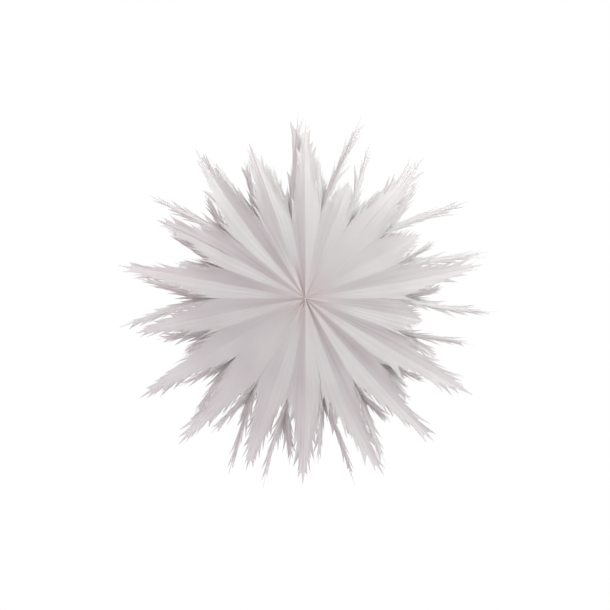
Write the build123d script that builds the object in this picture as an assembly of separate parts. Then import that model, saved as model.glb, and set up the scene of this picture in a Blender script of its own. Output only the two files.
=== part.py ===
from build123d import *

import os
from math import cos, radians, sin, tan

# A folding paper star: gusseted paper bags glued side by side and fanned into a full turn.
# The star's axis is Y, its front faces -Y, Z is up and the origin is the middle of the hub.
# Each bag is drawn standing upright, its mouth up, then turned about Y to its place.

# Driving dimensions, in millimetres and degrees
bag_count = 18           # bags round the star
star_radius = 225.0      # hub to the points of the panels
leaf_radius = 207.0      # hub to the point of a gusset
bag_width = 38.0         # panel between its front and rear ridges
hub_dent = 4.0           # how far a gusset's crease lies behind the ridges at the hub
point_dent = 6.0         # and at the gusset's point
ridge_length = 110.0     # hub to the end of a ridge, where the feathered cut begins
glued_ridge = 74.0       # hub to where the ridges of two neighbours part
glue_end = 118.0         # hub to where the middles of their panels part, at the notch of the cut
point_offset = 6.0       # middle of a panel to its points
flap_lift = 30.0         # slope of a panel's free part away from its neighbour
inner_barbs = 5          # barbs from the end of a ridge to a panel's point
outer_barbs = 3          # barbs from the notch to a panel's point
leaf_barbs = 4           # barbs from the end of a ridge to a gusset's point
barb_reach = 8.0         # how far a barb stands out past the foot of the next one
barb_lean = 0.4          # place of a barb's point between its own foot, 0, and the next one, 1
cut_bow = 0.8            # power of the cut's curve, below 1 for full points
paper = 0.2              # thickness of the paper
glue_film = 0.1          # clearance between two glued panels
fold_width = 0.4         # flat of a pressed fold, at the bag's bottom and the gusset's crease

strip_start = 25.0       # hub to the inner end of a closing strip
strip_length = 76.0
strip_width = 10.0
strip_thickness = 1.0
strip_glue = 0.05        # clearance of a closing strip from the panel that it is glued to
magnet_count = 3         # magnets in each closing strip
magnet_diameter = 6.0
magnet_clearance = 0.3   # all round a magnet in its punched hole
magnet_end_margin = 12.0  # end of a strip to the middle of its nearest magnet

# What follows from them
bag_angle = 360.0 / bag_count
half_angle = radians(bag_angle / 2)
half_width = bag_width / 2
panel_inset = (glue_film + paper) / 2    # middle of the paper, from the plane between two bags
hub_radius = (fold_width / 2 + panel_inset * cos(half_angle)) / sin(half_angle)
seam_after = bag_count // 2 + 1          # the seam follows this bag, going clockwise


def on_panel(s, y, inward=0.0):
    # A point of the right-hand panel: s along the bag, y along the star's axis, and how far inside
    depth = panel_inset + inward
    x = s * sin(half_angle) - depth * cos(half_angle)
    z = s * cos(half_angle) + depth * sin(half_angle)
    return Vector(x, y, z)


def on_flap(s, y):
    # The free part beside a panel's ridge, which slopes off past the line from parting to glue's end
    along = Vector(glue_end - glued_ridge, -half_width).normalized()
    across = Vector(-along.Y, along.X)
    stand = Vector(s - glued_ridge, y - half_width).dot(across)
    return on_panel(s, y, stand * tan(radians(flap_lift)))


def feathered_cut(foot, tip, barbs):
    # One side of a point, from its foot to its tip, each (distance from the hub, place across)
    points = [foot]
    for step in range(barbs):
        share = (step + 1) / barbs
        s = foot[0] + (tip[0] - foot[0]) * share ** cut_bow
        side_step = (tip[1] - foot[1]) / barbs
        across = foot[1] + side_step * step
        if step < barbs - 1:
            points.append((s + barb_reach, across + side_step * barb_lean))
        points.append((s, across + side_step))
    return points


def plate(points):
    # Paper of its real thickness, with the flat polygon as its middle
    face = Face(Wire.make_polygon(points, close=True))
    return extrude(face, amount=paper / 2, both=True)


def on_crease(s):
    # A point of the crease in the middle of a gusset, on its right-hand side
    share = (s - hub_radius) / (leaf_radius - hub_radius)
    dent = hub_dent + (point_dent - hub_dent) * share
    return Vector(fold_width / 2, half_width - dent, s * cos(half_angle))


def on_leaf(s, across):
    # A point of the half gusset past the ridge's end, across running 0 to 1 from ridge to crease
    along = on_crease(s) - on_crease(ridge_length)
    from_ridge = on_flap(ridge_length, half_width) + along
    return from_ridge + (on_crease(s) - from_ridge) * across


def quarter_bag():
    # One corner of the bag: the free flap of its panel and the two facets of its half gusset
    parting = on_panel(glued_ridge, half_width)
    ridge_end = (ridge_length, half_width)
    panel_point = (star_radius, point_offset)
    inner_cut = feathered_cut(ridge_end, panel_point, inner_barbs)
    outer_cut = feathered_cut((glue_end, 0), panel_point, outer_barbs)
    flap_edge = inner_cut + outer_cut[-2::-1]
    flap = plate([parting] + [on_flap(s, y) for s, y in flap_edge])
    root = plate([parting, on_crease(hub_radius), on_flap(*ridge_end)])
    leaf_cut = feathered_cut((ridge_length, 0), (leaf_radius, 1), leaf_barbs)
    leaf = plate([on_crease(hub_radius)] + [on_leaf(s, across) for s, across in leaf_cut])
    return [flap, root, leaf]


def bag():
    inner = on_crease(hub_radius)
    outer = on_crease(leaf_radius)
    hub = on_panel(hub_radius, half_width)
    parting = on_panel(glued_ridge, half_width)
    panel = plate([hub, parting, on_panel(glue_end, 0), flipped(parting), flipped(hub)])
    side = [panel]
    for piece in quarter_bag():
        side.append(piece)
        side.append(mirror(piece, about=Plane.XZ))
    crease = plate([inner, outer, across_middle(outer), across_middle(inner)])
    bottom = plate([hub, across_middle(hub), across_middle(flipped(hub)), flipped(hub)])
    pieces = side + [mirror(piece, about=Plane.YZ) for piece in side]
    pieces += [crease, mirror(crease, about=Plane.XZ), bottom]
    return pieces[0].fuse(*pieces[1:])


def flipped(point):
    return Vector(point.X, -point.Y, point.Z)


def across_middle(point):
    return Vector(-point.X, point.Y, point.Z)


def seam_plane():
    # Lies on the inside of the right-hand panel: X along the bag, Y along the star's axis, Z inwards
    seat = on_panel(0, 0, paper / 2 + strip_glue)
    along = Vector(sin(half_angle), 0, cos(half_angle))
    inwards = Vector(-cos(half_angle), 0, sin(half_angle))
    return Plane(origin=seat, x_dir=along, z_dir=inwards)


def magnet_places():
    first = strip_start + magnet_end_margin
    last = strip_start + strip_length - magnet_end_margin
    pitch = (last - first) / (magnet_count - 1)
    return [first + number * pitch for number in range(magnet_count)]


def closing_strip():
    # A flat card strip with one round hole for each magnet
    middle = strip_start + strip_length / 2
    outline = Pos(middle, 0) * RectangleRounded(strip_length, strip_width, strip_width / 4)
    hole = Circle(magnet_diameter / 2 + magnet_clearance)
    for s in magnet_places():
        outline -= Pos(s, 0) * hole
    return seam_plane() * extrude(outline, strip_thickness)


def closure_magnets():
    discs = [
        seam_plane() * Pos(s, 0) * extrude(Circle(magnet_diameter / 2), strip_thickness)
        for s in magnet_places()
    ]
    return Compound(children=discs)


def turned_to(shape, number):
    # The place of bag number 1, 2, 3 and so on, clockwise from the top as seen from the front
    return Rot(0, (number - 1) * bag_angle, 0) * shape


os.makedirs("parts", exist_ok=True)

paper_bag = bag()
for number in range(1, bag_count + 1):
    export_step(turned_to(paper_bag, number), f"parts/bag_{number:02d}.step")

# The first seam piece lies in the bag before the seam, the last one, its mirror image, in the bag after
for name, shape in [("closing_strip", closing_strip()), ("closure_magnets", closure_magnets())]:
    mirrored = mirror(shape, about=Plane.YZ)
    export_step(turned_to(shape, seam_after), f"parts/{name}_first.step")
    export_step(turned_to(mirrored, seam_after + 1), f"parts/{name}_last.step")
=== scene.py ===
import math
import bpy
import numpy as np
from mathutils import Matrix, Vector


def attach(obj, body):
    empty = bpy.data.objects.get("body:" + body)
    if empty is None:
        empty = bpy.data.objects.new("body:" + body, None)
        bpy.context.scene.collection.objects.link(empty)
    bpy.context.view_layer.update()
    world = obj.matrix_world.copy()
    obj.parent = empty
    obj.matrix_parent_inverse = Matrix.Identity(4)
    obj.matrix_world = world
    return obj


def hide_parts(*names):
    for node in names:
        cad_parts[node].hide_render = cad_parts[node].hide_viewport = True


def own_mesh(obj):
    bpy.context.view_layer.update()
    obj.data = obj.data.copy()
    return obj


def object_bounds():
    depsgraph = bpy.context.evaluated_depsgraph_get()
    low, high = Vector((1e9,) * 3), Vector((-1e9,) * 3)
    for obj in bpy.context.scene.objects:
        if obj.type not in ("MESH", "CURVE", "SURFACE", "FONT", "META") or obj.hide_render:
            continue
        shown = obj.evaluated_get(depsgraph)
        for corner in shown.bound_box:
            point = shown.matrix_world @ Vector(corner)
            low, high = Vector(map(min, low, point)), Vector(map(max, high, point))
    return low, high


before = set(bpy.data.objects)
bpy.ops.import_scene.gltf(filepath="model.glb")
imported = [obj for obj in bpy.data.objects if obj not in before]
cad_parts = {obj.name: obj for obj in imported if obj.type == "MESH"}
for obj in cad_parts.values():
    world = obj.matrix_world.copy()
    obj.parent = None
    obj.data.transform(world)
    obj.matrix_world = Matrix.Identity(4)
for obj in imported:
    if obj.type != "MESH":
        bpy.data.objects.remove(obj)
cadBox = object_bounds()
mm = 0.001
print("frame loaded,", len(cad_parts), "nodes")


def linear(hexColour):
    # sRGB hex to the linear colour that shaders take
    values = [int(hexColour[i:i + 2], 16) / 255 for i in (1, 3, 5)]
    return [v / 12.92 if v <= 0.04045 else ((v + 0.055) / 1.055) ** 2.4 for v in values] + [1.0]


def addNode(tree, kind, inputs=(), links=(), **settings):
    # one node with its settings, its socket values and what is linked into it
    node = tree.nodes.new(kind)
    for name, value in settings.items():
        setattr(node, name, value)
    for name, value in dict(inputs).items():
        node.inputs[name].default_value = value
    for name, source in dict(links).items():
        tree.links.new(source, node.inputs[name])
    return node


def noise(tree, place, size, detail, roughness):
    # irregular pattern with grains of about the size in mm
    grains = addNode(tree, "ShaderNodeTexNoise", links={"Vector": place},
                     inputs={"Scale": 1 / (size * mm), "Detail": detail, "Roughness": roughness})
    return grains.outputs["Fac"]


def newMaterial(name):
    material = bpy.data.materials.new(name)
    material.use_nodes = True
    material.node_tree.nodes.clear()
    return material, material.node_tree


paperLook = dict(
    sheet="#fbfafa",        # uncoated wood-free paper
    cloud="#f9f8f8",        # where the sheet is a little denser
    through="#fbfaf9",      # light that comes through one layer, hardly tinted
    throughShare=0.5,
    glued="#fdf4f1",        # at the hub: glue soaked into many layers, plus painted warm light standing for light bounced between the stacked layers there
    hubTintSpread=55.0,        # mm from the axis
    cloudSize=14.0,         # mm, the cloudy look of the sheet against light
    fibreSize=1.6,          # mm, drawn some ten times coarser than real fibres, so that it shows
    fibreHeight=0.03,       # mm
    fibreStrength=0.35,
    roughness=0.88,
    specular=0.25,
)


def uncoatedPaper():
    # matt white sheet: no gloss, faint clouds in its tone, a felt-like grain, half of the light through
    # it, and a warm tint round the hub that is partly glue stain and partly painted warm light from the
    # stacked layers
    look = paperLook
    material, tree = newMaterial("uncoated white paper")
    place = addNode(tree, "ShaderNodeTexCoord").outputs["Object"]
    clouds = noise(tree, place, look["cloudSize"], detail=3.0, roughness=0.6)
    fibres = noise(tree, place, look["fibreSize"], detail=4.0, roughness=0.7)
    tone = addNode(tree, "ShaderNodeMix", data_type="RGBA", links={"Factor": clouds},
                   inputs={"A": linear(look["sheet"]), "B": linear(look["cloud"])})
    flat = addNode(tree, "ShaderNodeVectorMath", operation="MULTIPLY", links={0: place},
                   inputs={1: (1, 0, 1)})
    fromAxis = addNode(tree, "ShaderNodeVectorMath", operation="LENGTH", links={0: flat.outputs["Vector"]})
    # painted warm light: the hub tint fades out from the axis and stands partly for glue stain, partly for
    # light bounced between the stacked layers
    nearHub = addNode(tree, "ShaderNodeMapRange", links={"Value": fromAxis.outputs["Value"]},
                      inputs={"From Max": look["hubTintSpread"] * mm, "To Min": 1.0, "To Max": 0.0})
    glueStainAndWarmLight = addNode(tree, "ShaderNodeMix", data_type="RGBA", inputs={"B": linear(look["glued"])},
                      links={"Factor": nearHub.outputs["Result"], "A": tone.outputs["Result"]})
    grain = addNode(tree, "ShaderNodeBump", links={"Height": fibres},
                    inputs={"Strength": look["fibreStrength"], "Distance": look["fibreHeight"] * mm})
    front = addNode(tree, "ShaderNodeBsdfPrincipled",
                    links={"Base Color": glueStainAndWarmLight.outputs["Result"], "Normal": grain.outputs["Normal"]},
                    inputs={"Roughness": look["roughness"], "Specular IOR Level": look["specular"]})
    through = addNode(tree, "ShaderNodeBsdfTranslucent", inputs={"Color": linear(look["through"])})
    both = addNode(tree, "ShaderNodeMixShader", inputs={0: look["throughShare"]},
                   links={1: front.outputs[0], 2: through.outputs[0]})
    addNode(tree, "ShaderNodeOutputMaterial", links={"Surface": both.outputs[0]})
    return material


boardLook = dict(
    face="#f3f1ec",         # bleached pulp board
    fleck="#e6e2d9",
    fleckSize=2.5,          # mm
    grainHeight=0.02,       # mm
    grainStrength=0.3,
    roughness=0.72,
)


def pulpBoard():
    # stiff white card, calendered: almost matt, with faint warm flecks and a shallow felt grain
    look = boardLook
    material, tree = newMaterial("bleached pulp board")
    place = addNode(tree, "ShaderNodeTexCoord").outputs["Object"]
    flecks = noise(tree, place, look["fleckSize"], detail=5.0, roughness=0.65)
    tone = addNode(tree, "ShaderNodeMix", data_type="RGBA", links={"Factor": flecks},
                   inputs={"A": linear(look["face"]), "B": linear(look["fleck"])})
    grain = addNode(tree, "ShaderNodeBump", links={"Height": flecks},
                    inputs={"Strength": look["grainStrength"], "Distance": look["grainHeight"] * mm})
    card = addNode(tree, "ShaderNodeBsdfPrincipled", inputs={"Roughness": look["roughness"]},
                   links={"Base Color": tone.outputs["Result"], "Normal": grain.outputs["Normal"]})
    addNode(tree, "ShaderNodeOutputMaterial", links={"Surface": card.outputs[0]})
    return material


nickelLook = dict(
    plate="#cdc7bc",
    rubSize=0.6,            # mm, rub marks from tumbling
    smooth=0.2,             # roughness of clean plate
    rubbed=0.42,            # and of a rub mark
)


def nickelPlate():
    # barrel-plated disc magnets: a warm grey mirror, duller in small patches where discs rubbed together
    look = nickelLook
    material, tree = newMaterial("bright nickel plate")
    place = addNode(tree, "ShaderNodeTexCoord").outputs["Object"]
    rubs = noise(tree, place, look["rubSize"], detail=3.0, roughness=0.6)
    gloss = addNode(tree, "ShaderNodeMapRange", links={"Value": rubs},
                    inputs={"To Min": look["smooth"], "To Max": look["rubbed"]})
    plate = addNode(tree, "ShaderNodeBsdfPrincipled", links={"Roughness": gloss.outputs["Result"]},
                    inputs={"Base Color": linear(look["plate"]), "Metallic": 1.0})
    addNode(tree, "ShaderNodeOutputMaterial", links={"Surface": plate.outputs[0]})
    return material


whitePaper = uncoatedPaper()
seamFinish = {"closing_strip": pulpBoard(), "closure_magnets": nickelPlate()}
for kind, finish in seamFinish.items():
    for end in ("first", "last"):
        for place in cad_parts[f"{kind}_{end}"].material_slots:
            place.material = finish
print("materials ready")

starShape = dict(
    bags=18,
    seed=100,            # of chance; each bag adds its number
    radius=229.0,        # mm, hub to the long points
    halfWidth=19.0,      # mm, middle of a panel to its ridge
    gusset=21.0,         # mm, ridge to the crease of a gusset
    ridge=110.0,         # mm, hub to the end of a ridge
    inset=0.15,          # mm, half a glue film and half the paper
    hub=0.8,             # mm, radius of the hub
    paper=0.2,           # mm
    foldAngle=35.0,      # degrees from which an edge shows as a fold
    rows=28,             # from hub to cut

    # where neighbours part
    parting=100.0,       # mm, hub to where they part at their ridges
    glueEnd=117.0,       # mm, hub to where the middles of their panels part, at a notch
    lift=14.5,           # degrees that a free part slopes off its neighbour
    bend=6.0,            # mm over which it turns
    curl=11.0,           # mm that the panels' points curl towards the nearer face of the star

    # gussets
    pinch=15.0,          # mm from the hub that a gusset keeps its dent at the hub
    leastDepth=1.0,      # mm that a gusset can always be pressed in
    soft=0.35,           # how far the folds of a gusset are rounded, 0 to 1
    rearDent=0.4,        # share of its depth that a rear gusset is pressed in
    rearReach=0.97,      # its point against the front one's: both are cut together

    # leans
    leanStart=60.0,      # mm from the hub where gussets start to lean
    leafBend=1.6,        # power by which a gusset's lean grows towards its point
    panelBend=1.3,       # and a panel's, together with its curl
    blendStart=0.2,      # share of the way from mid panel to crease where the gusset's lean sets in

    # unevenness of the paper
    wave=0.8,            # mm, height of the slow waves along a gusset
    waveLength=(60.0, 95.0),  # mm, least and most
    waveFrom=40.0,       # mm from the hub where they start
    waveGrowth=60.0,     # mm over which they reach their height
    streak=0.12,         # mm, height of the faint creases from hub to points
    streakCount=(1.5, 3.5),   # least and most of them on half a gusset
    streakFrom=15.0,     # mm from the hub where they start
    streakGrowth=50.0,   # mm over which they reach their height

    # the feathered cut
    tipPlace=6.0,        # mm, middle of a panel to its points
    taper=1.35,          # above 1 the cut is hollow and the points are slender
    outerBarbs=7,        # barbs on a panel, from its middle to its point
    innerBarbs=9,        # and from there to the ridge
    leafBarbs=10,        # barbs on half a gusset
    barbSamples=4,       # columns for each barb
    barbReach=17.0,      # mm, mean length of a barb
    barbLeast=0.5,       # share of it that every barb has; chance adds up to 1
    barbMost=0.7,        # share of the way left to the point's tip that a barb may take
    barbWidth=0.75,      # share of its own stretch of the cut that a barb takes up at its root
    barbFlare=0.2,       # how far it turns away from its point, as a share of its length
    barbStray=0.12,      # spread of that turn
    barbSplay=0.4,       # share of the turn that goes off the sheet, towards the star's faces
    barbRoot=12,         # power that draws a barb out of the last rows alone
)
# how each point hangs out of line: degrees clockwise and share of the radius, for the bags from the
# top clockwise. Leaves are the opened gussets, front and rear; left and right are the panels' points
leafLean = [0, 1, 0, 2, -1, 3, 0, -2, -4, 1, -1, 1, -1, -2, 0, -3, 4, 0]
leafReach = [0.9, 0.64, 0.95, 0.68, 0.93, 0.62, 1, 1, 1,
             0.96, 0.94, 1, 1, 0.9, 0.98, 0.87, 0.96, 0.85]
leftLean = [-1, -1, 0, 2, -2, -4, 0, -2, -3, -1, -4, -1, -1, -3, 0, 0, 3, 0]
leftReach = [0.97, 0.98, 0.7, 0.98, 1, 1, 0.76, 0.76, 0.96,
             0.86, 1, 0.85, 0.8, 0.8, 0.88, 0.8, 0.75, 0.78]
rightLean = [0, 0, -1, 3, 0, 3, 0, 0, 3, 1, 1, 0, 0, -1, 0, 1, 4, 0]
rightReach = [0.74, 0.87, 0.86, 0.74, 0.72, 0.9, 0.76, 0.78, 1,
              0.86, 1, 0.84, 0.7, 0.98, 0.7, 0.97, 0.88, 0.74]
# how far each front gusset is pressed in, as a share of its full depth; below 0 it stands out
leafDent = [-0.35, -0.3, 0.2, 0.35, 0.45, 0.35, 0.4, 0.5, 0.35,
            -0.45, -0.35, -0.3, 0.45, 0.35, 0.5, 0.4, 0.5, -0.3]
# the same at the hub, front and rear
hubDent = [-0.08, 0.06, 0, -0.03, 0, -0.04, 0.02, 0.05, 0.13,
           -0.08, 0.08, 0.1, -0.03, 0.07, -0.02, 0.03, 0.05, 0.12]
# mm that the panels to the right of each bag stay glued beyond parting and glueEnd
glueMore = [2, -6, 12, 8, 4, 10, 6, 16, 8, 22, 14, 4, 2, 4, -2, 8, 0, -8]


def softRamp(x, width):
    # nothing below 0, then a parabola over width, then a straight line of slope 1
    inside = np.clip(x, 0, width)
    return inside ** 2 / (2 * width) + np.clip(x - width, 0, None)


def smoothStep(x):
    # 0 below 0, 1 above 1 and an S between them
    x = np.clip(x, 0, 1)
    return x * x * (3 - 2 * x)


def cutLine(share, barbs, foot, tip, flare, rng, shape):
    # one side of a point, share running 0 to 1 from its foot to its tip: a hollow line plus a needle for
    # each barb but the last, short enough to stay behind the tip and flaring away from the point
    number = np.minimum((share * barbs).astype(int), barbs - 1)
    phase = share * barbs - number
    tooth = np.clip(1 - np.abs(2 * phase - 1) / shape["barbWidth"], 0, 1)
    left = (tip - foot) * (1 - ((np.arange(barbs) + 0.5) / barbs) ** shape["taper"])
    wanted = shape["barbReach"] * (shape["barbLeast"] + rng.random(barbs))
    length = np.minimum(wanted, shape["barbMost"] * left)
    length[-1] = 0
    sideways = flare * shape["barbFlare"] + rng.normal(0, shape["barbStray"], barbs)
    bowed = foot + (tip - foot) * share ** shape["taper"]
    return bowed, length[number] * tooth, sideways[number]


def quarter(shape, panel, leaf, rng):
    # one corner of the bag as a grid: columns from mid panel over the panel's point and the ridge to
    # the crease, rows from hub to cut. A panel lies on its glue plane and turns off it past the parting
    # line; a gusset goes from ridge to crease at the depth that its width leaves.
    half = math.radians(180 / shape["bags"])
    parting, glueEnd = shape["parting"] + panel["glueMore"], shape["glueEnd"] + panel["glueMore"]
    samples = shape["barbSamples"]
    outerShare = np.linspace(0, 1, shape["outerBarbs"] * samples + 1)[:-1]
    innerShare = np.linspace(1, 0, shape["innerBarbs"] * samples + 1)
    leafShare = np.linspace(0, 1, shape["leafBarbs"] * samples + 1)[1:]
    cuts = [cutLine(outerShare, shape["outerBarbs"], glueEnd, panel["tip"], 1, rng, shape),
            cutLine(innerShare, shape["innerBarbs"], shape["ridge"], panel["tip"], -1, rng, shape),
            cutLine(leafShare, shape["leafBarbs"], shape["ridge"], leaf["tip"], 1, rng, shape)]
    straight, barb, sideways = [np.concatenate(part)[:, None] for part in zip(*cuts)]
    inner = shape["halfWidth"] - (shape["halfWidth"] - shape["tipPlace"]) * innerShare
    ridge = np.full(len(leafShare), shape["halfWidth"])
    u = np.concatenate([shape["tipPlace"] * outerShare, inner, ridge])[:, None]
    v = np.zeros_like(u)
    v[-len(leafShare):, 0] = shape["gusset"] * leafShare
    t = np.linspace(0, 1, shape["rows"])[None, :]
    extra = barb * t ** shape["barbRoot"]
    s = shape["hub"] + (straight - shape["hub"]) * t + extra

    # the panel, and the ridge that a gusset starts from; past its end the gusset keeps its width
    reach = np.where(v > 0, np.minimum(s, shape["ridge"]), s)
    glued = shape["halfWidth"] * np.minimum((glueEnd - reach) / (glueEnd - parting), 1)
    free = softRamp(u - glued, shape["bend"])
    off = shape["inset"] + math.tan(math.radians(shape["lift"])) * free
    ridgeX = reach * np.sin(half - np.arcsin(np.clip(off / reach, -1, 1)))
    across = v / shape["gusset"]
    angle = np.arcsin(np.clip(ridgeX * (1 - across) / s, -1, 1))

    # the gusset's dent, and faint creases that fade out at the ridge and at the crease
    depth = np.sqrt(np.maximum(shape["gusset"] ** 2 - ridgeX ** 2, shape["leastDepth"] ** 2))
    fromHub = smoothStep((s - shape["pinch"]) / shape["parting"])
    dent = leaf["hubDent"] + (leaf["dent"] - leaf["hubDent"]) * fromHub
    rounded = across * (1 - shape["soft"]) + (1 - np.cos(np.pi * across)) / 2 * shape["soft"]
    y = u - dent * depth * rounded
    streaks = np.sin(2 * np.pi * (across * rng.uniform(*shape["streakCount"]) + rng.random()))
    streaks = streaks * 4 * across * (1 - across)
    y = y + shape["streak"] * streaks * smoothStep((s - shape["streakFrom"]) / shape["streakGrowth"])

    # each point leans its own way, and slow waves run along the gusset
    toCrease = (u + v) / (shape["halfWidth"] + shape["gusset"])
    blend = smoothStep((toCrease - shape["blendStart"]) / (1 - shape["blendStart"]))
    spread = shape["halfWidth"] / (glueEnd - parting)
    panelRise = (free / (shape["radius"] - glueEnd) / spread) ** shape["panelBend"]
    leafRise = np.clip(s - shape["leanStart"], 0, None) / (shape["radius"] - shape["leanStart"])
    leafRise = leafRise ** shape["leafBend"]
    lean = np.radians(panel["lean"] * panelRise * (1 - blend) + leaf["lean"] * leafRise * blend)
    angle = panel["side"] * (angle + sideways * extra / s) + lean
    waves = np.sin(2 * np.pi * (s / leaf["waveLength"] + leaf["waveStart"]))
    waves = waves * smoothStep((s - shape["waveFrom"]) / shape["waveGrowth"])
    y = y + sideways * extra * shape["barbSplay"] + shape["wave"] * waves * blend
    y = y + shape["curl"] * np.minimum(panelRise, 1) * (1 - blend)
    return angle, y, s


def foldedTube(middle, corners):
    # the four corners joined to one closed loop of columns, each point at radius s and angle from up
    angle, y, s = [np.concatenate(parts) for parts in zip(*corners)]
    turn = middle + angle
    return np.stack([s * np.sin(turn), y, s * np.cos(turn)], axis=-1) * mm


def sheetMesh(name, points, shape):
    # the loop grid as paper: both faces half a thickness off it along its normals, rims at both ends
    thickness = shape["paper"] * mm
    columns, rows = points.shape[:2]
    acrossStep = np.roll(points, -1, axis=0) - np.roll(points, 1, axis=0)
    downStep = np.gradient(points, axis=1)
    normal = np.cross(acrossStep, downStep)
    normal /= np.maximum(np.linalg.norm(normal, axis=-1, keepdims=True), 1e-12)
    both = np.concatenate([points + normal * thickness / 2, points - normal * thickness / 2])
    index = np.arange(2 * columns * rows).reshape(2, columns, rows)
    nextColumn = np.roll(index, -1, axis=1)
    a, b = index[:, :, :-1], nextColumn[:, :, :-1]
    c, d = nextColumn[:, :, 1:], index[:, :, 1:]
    outer = np.stack([a[0], b[0], c[0], d[0]], axis=-1).reshape(-1, 4)
    inner = np.stack([a[1], d[1], c[1], b[1]], axis=-1).reshape(-1, 4)
    cut, nextCut = index[:, :, -1], nextColumn[:, :, -1]
    mouth = np.stack([cut[0], nextCut[0], nextCut[1], cut[1]], axis=-1)
    foot, nextFoot = index[:, :, 0], nextColumn[:, :, 0]
    bottom = np.stack([foot[0], foot[1], nextFoot[1], nextFoot[0]], axis=-1)
    faces = np.concatenate([outer, inner, mouth, bottom])
    mesh = bpy.data.meshes.new(name)
    mesh.from_pydata(both.reshape(-1, 3).tolist(), [], faces.tolist())
    mesh.polygons.foreach_set("use_smooth", np.ones(len(mesh.polygons), bool))
    mesh.set_sharp_from_angle(angle=math.radians(shape["foldAngle"]))
    mesh.update()
    return mesh


def paperBag(number, shape):
    # its corners run front right, front left, rear left, rear right
    rng = np.random.default_rng(shape["seed"] + number)
    node = f"bag_{number:02d}"
    middle = math.radians((number - 1) * 360 / shape["bags"])
    place = number - 1
    radius = shape["radius"]
    leafTip = radius * leafReach[place]
    leaves = [dict(tip=leafTip, dent=leafDent[place]),
              dict(tip=leafTip * shape["rearReach"], dent=shape["rearDent"])]
    panels = [dict(side=1, lean=rightLean[place], tip=radius * rightReach[place],
                   glueMore=glueMore[place]),
              dict(side=-1, lean=leftLean[place], tip=radius * leftReach[place],
                   glueMore=glueMore[place - 1])]
    corners = []
    for facing, leaf in enumerate(leaves):                     # front, then rear
        outward = (-1, 1)[facing]
        leaf.update(lean=leafLean[place], hubDent=hubDent[place],
                    waveLength=rng.uniform(*shape["waveLength"]), waveStart=rng.random())
        pair = []
        for panel in panels:
            angle, y, s = quarter(shape, panel, leaf, rng)
            pair.append([angle, outward * y, s])
        first, second = pair if facing == 0 else pair[::-1]
        corners.append([grid[:-1] for grid in first])
        corners.append([grid[::-1][:-1] for grid in second])
    points = foldedTube(middle, corners)
    mesh = sheetMesh(f"paperBag{number:02d}", points, shape)
    mesh.materials.append(whitePaper)
    piece = bpy.data.objects.new(f"paperBag{number:02d}", mesh)
    bpy.context.scene.collection.objects.link(piece)
    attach(piece, node)
    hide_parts(node)
    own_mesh(piece)


for number in range(1, starShape["bags"] + 1):
    paperBag(number, starShape)
print("paper bags made:", starShape["bags"])


setting = dict(
    frameWidth=0.7228,     # m that the picture spans at the star
    distance=3.2,          # m from the camera to the star
    aim=(-0.0006, 0.0, -0.0077),
    sensor=36.0,           # mm
    floorDrop=0.9,         # m from the star's lowest point to the floor
    floorReach=4.0,        # m from its middle to its sides
    floorColour="#f4f4f3",
    sky=0.37,
    skyColour="#f6d2ea",   # the photograph's shade is a little mauve
)
# soft boxes, all turned to the star: m, m and W. The key stands at the upper right in front of it
lamps = dict(
    keyLight=dict(place=(0.47, -0.52, 0.5), size=0.6, power=5.0, colour="#eefff5"),
    fillLight=dict(place=(-0.4, -2.6, 0.1), size=1.2, power=5.0, colour="#f8e0ea"),
    backLight=dict(place=(-0.6, 0.75, 0.65), size=0.8, power=3.2, colour="#fdf8fa"),
)


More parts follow.
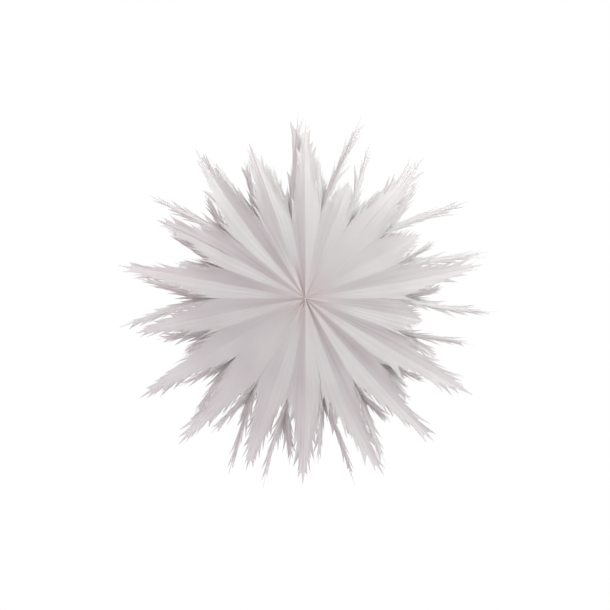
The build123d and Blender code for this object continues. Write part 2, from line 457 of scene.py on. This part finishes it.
def whiteToCamera(tree, shader, background):
    # the camera, gloss and light through the paper see plain white; other rays see the lit shader
    path = addNode(tree, "ShaderNodeLightPath").outputs
    direct = addNode(tree, "ShaderNodeMath", operation="MAXIMUM",
                     links={0: path["Is Camera Ray"], 1: path["Is Glossy Ray"]})
    seen = addNode(tree, "ShaderNodeMath", operation="MAXIMUM",
                   links={0: direct.outputs[0], 1: path["Is Transmission Ray"]})
    white = addNode(tree, background, inputs={"Color": (1, 1, 1, 1), "Strength": 1.0})
    return addNode(tree, "ShaderNodeMixShader",
                   links={0: seen.outputs[0], 1: shader.outputs[0], 2: white.outputs[0]})


def studio():
    scene = bpy.context.scene
    scene.view_settings.view_transform = "Standard"
    world = bpy.data.worlds.new("white studio")
    world.use_nodes = True
    scene.world = world
    tree = world.node_tree
    tree.nodes.clear()
    sky = addNode(tree, "ShaderNodeBackground",
                  inputs={"Color": linear(setting["skyColour"]), "Strength": setting["sky"]})
    mixed = whiteToCamera(tree, sky, "ShaderNodeBackground")
    addNode(tree, "ShaderNodeOutputWorld", links={"Surface": mixed.outputs[0]})
    floorMaterial, tree = newMaterial("pale studio floor")
    pale = addNode(tree, "ShaderNodeBsdfDiffuse", inputs={"Color": linear(setting["floorColour"])})
    mixed = whiteToCamera(tree, pale, "ShaderNodeEmission")
    addNode(tree, "ShaderNodeOutputMaterial", links={"Surface": mixed.outputs[0]})
    z = cadBox[0].z - setting["floorDrop"]
    r = setting["floorReach"]
    mesh = bpy.data.meshes.new("studioFloor")
    mesh.from_pydata([(-r, -r, z), (r, -r, z), (r, r, z), (-r, r, z)], [], [(0, 1, 2, 3)])
    mesh.materials.append(floorMaterial)
    floor = bpy.data.objects.new("studioFloor", mesh)
    scene.collection.objects.link(floor)


def softBox(name, place, size, power, colour):
    light = bpy.data.lights.new(name, "AREA")
    light.size = size
    light.energy = power
    light.color = linear(colour)[:3]
    lamp = bpy.data.objects.new(name, light)
    lamp.location = place
    away = Vector(place)
    lamp.rotation_euler = away.to_track_quat("Z", "Y").to_euler()
    bpy.context.scene.collection.objects.link(lamp)


def camera():
    data = bpy.data.cameras.new("photoCamera")
    data.sensor_width = setting["sensor"]
    data.lens = data.sensor_width * setting["distance"] / setting["frameWidth"]
    eye = bpy.data.objects.new("photoCamera", data)
    x, y, z = setting["aim"]
    eye.location = (x, y - setting["distance"], z)
    eye.rotation_euler = (math.pi / 2, 0, 0)
    bpy.context.scene.collection.objects.link(eye)
    bpy.context.scene.camera = eye


studio()
for name, lamp in lamps.items():
    softBox(name, **lamp)
camera()
print("studio ready")
